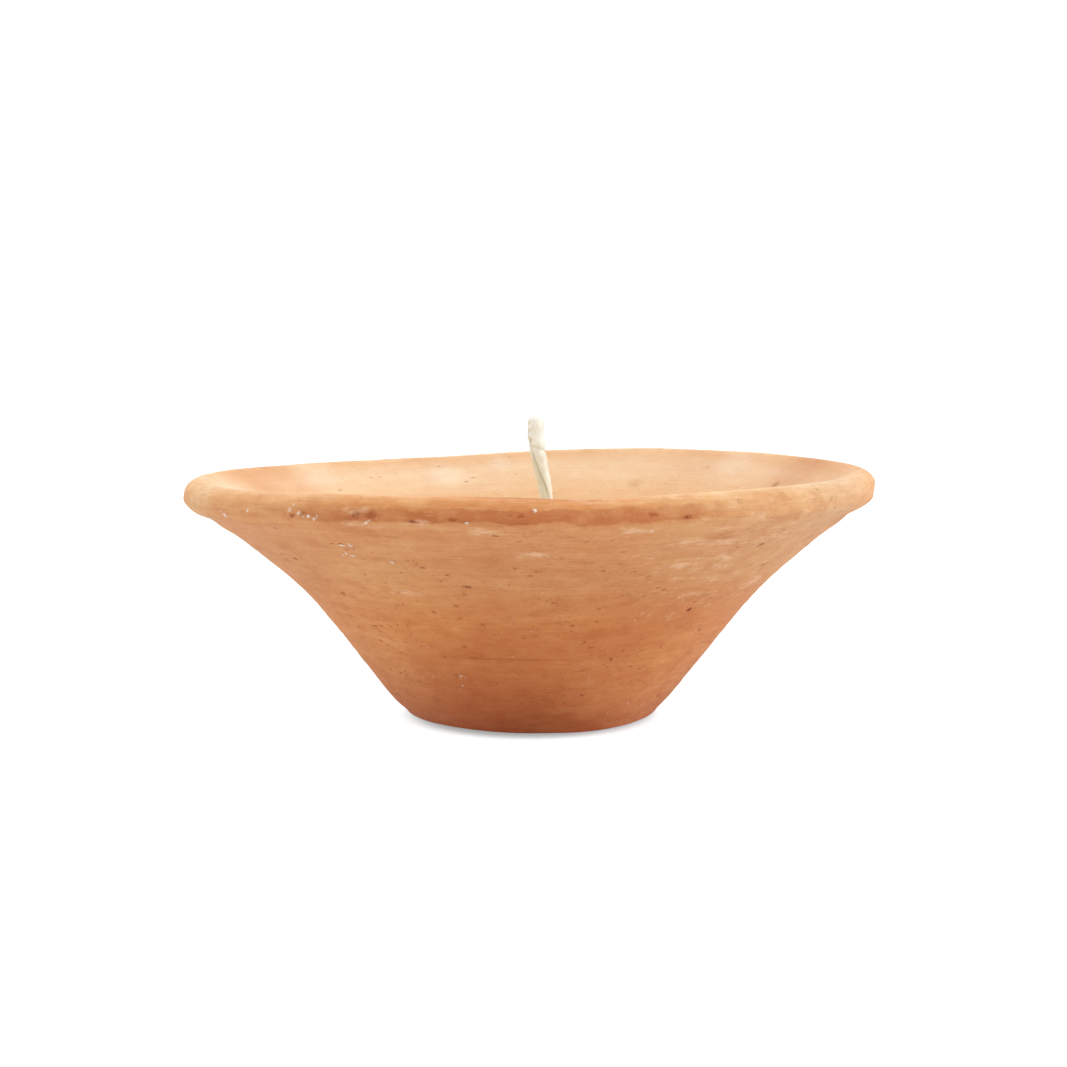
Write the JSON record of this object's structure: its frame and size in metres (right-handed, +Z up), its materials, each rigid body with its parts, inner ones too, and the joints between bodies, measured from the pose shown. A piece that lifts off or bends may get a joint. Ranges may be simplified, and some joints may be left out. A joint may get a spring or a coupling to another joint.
{
  "type": "diya oil lamp",
  "caption": "Wide flared terracotta bowl lamp with a rolled rim and flat foot, filled with set wax around an upright twisted cotton wick.",
  "frame": {"origin": "centre of the bowl's flat foot, on the surface it stands on", "axes": "+Z up along the bowl's turning axis; -Y towards the front, the side seen in the reference view; the wick leans towards +X where it leaves the wax and back towards the axis at its tip"},
  "size_m": [0.1, 0.1, 0.0435],
  "materials": {
    "terracotta": "unglazed, matt, with throwing lines, pores, lime specks and pale smears",
    "wax": "set ivory wax, satin, slightly translucent",
    "tinplate": "thin pressed tinned sheet, satin",
    "waxed_cotton": "twisted cotton stiffened with wax, cream"
  },
  "bodies": {
    "root": {"bowl": "terracotta", "wax_fill": "wax", "wick_sustainer": "tinplate", "wick_ply_1": "waxed_cotton", "wick_ply_2": "waxed_cotton"}
  },
  "joints": []
}
